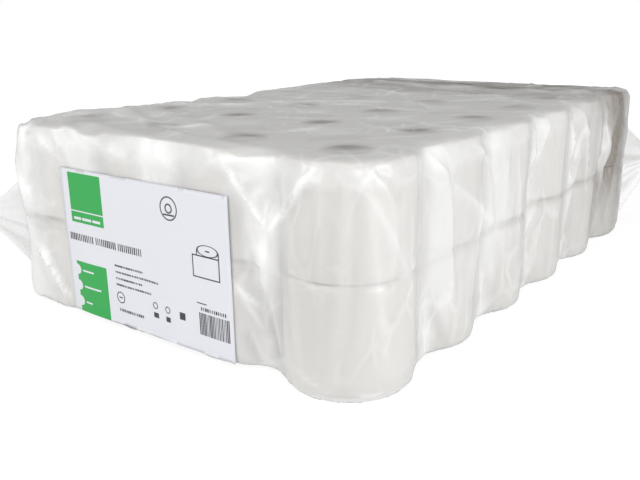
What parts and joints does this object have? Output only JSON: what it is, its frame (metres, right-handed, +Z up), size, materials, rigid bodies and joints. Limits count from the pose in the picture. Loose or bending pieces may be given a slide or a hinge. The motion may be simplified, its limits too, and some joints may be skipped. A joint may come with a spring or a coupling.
{
  "type": "toilet paper roll pack",
  "caption": "Bulk pack of toilet paper rolls standing in two layers, wrapped tightly in clear plastic film with a printed label on one end",
  "frame": {"origin": "Middle of the base, on the surface that the pack stands on", "axes": "+X across the four columns, +Y along the six rows away from the label, +Z up"},
  "size_m": [0.4926, 0.7126, 0.191],
  "materials": {
    "roll_paper": "soft embossed tissue",
    "core_board": "plain grey board",
    "film": "clear glossy film",
    "label_paper": "smooth printed paper"
  },
  "bodies": {
    "root": {"lower_roll_column_1_row_1": "roll_paper", "lower_roll_column_1_row_2": "roll_paper", "lower_roll_column_1_row_3": "roll_paper", "lower_roll_column_1_row_4": "roll_paper", "lower_roll_column_1_row_5": "roll_paper", "lower_roll_column_1_row_6": "roll_paper", "lower_roll_column_2_row_1": "roll_paper", "lower_roll_column_2_row_2": "roll_paper", "lower_roll_column_2_row_3": "roll_paper", "lower_roll_column_2_row_4": "roll_paper", "lower_roll_column_2_row_5": "roll_paper", "lower_roll_column_2_row_6": "roll_paper", "lower_roll_column_3_row_1": "roll_paper", "lower_roll_column_3_row_2": "roll_paper", "lower_roll_column_3_row_3": "roll_paper", "lower_roll_column_3_row_4": "roll_paper", "lower_roll_column_3_row_5": "roll_paper", "lower_roll_column_3_row_6": "roll_paper", "lower_roll_column_4_row_1": "roll_paper", "lower_roll_column_4_row_2": "roll_paper", "lower_roll_column_4_row_3": "roll_paper", "lower_roll_column_4_row_4": "roll_paper", "lower_roll_column_4_row_5": "roll_paper", "lower_roll_column_4_row_6": "roll_paper", "upper_roll_column_1_row_1": "roll_paper", "upper_roll_column_1_row_2": "roll_paper", "upper_roll_column_1_row_3": "roll_paper", "upper_roll_column_1_row_4": "roll_paper", "upper_roll_column_1_row_5": "roll_paper", "upper_roll_column_1_row_6": "roll_paper", "upper_roll_column_2_row_1": "roll_paper", "upper_roll_column_2_row_2": "roll_paper", "upper_roll_column_2_row_3": "roll_paper", "upper_roll_column_2_row_4": "roll_paper", "upper_roll_column_2_row_5": "roll_paper", "upper_roll_column_2_row_6": "roll_paper", "upper_roll_column_3_row_1": "roll_paper", "upper_roll_column_3_row_2": "roll_paper", "upper_roll_column_3_row_3": "roll_paper", "upper_roll_column_3_row_4": "roll_paper", "upper_roll_column_3_row_5": "roll_paper", "upper_roll_column_3_row_6": "roll_paper", "upper_roll_column_4_row_1": "roll_paper", "upper_roll_column_4_row_2": "roll_paper", "upper_roll_column_4_row_3": "roll_paper", "upper_roll_column_4_row_4": "roll_paper", "upper_roll_column_4_row_5": "roll_paper", "upper_roll_column_4_row_6": "roll_paper", "lower_cores_column_1": "core_board", "lower_cores_column_2": "core_board", "lower_cores_column_3": "core_board", "lower_cores_column_4": "core_board", "upper_cores_column_1": "core_board", "upper_cores_column_2": "core_board", "upper_cores_column_3": "core_board", "upper_cores_column_4": "core_board", "film_bag": "film", "label": "label_paper"}
  },
  "joints": []
}
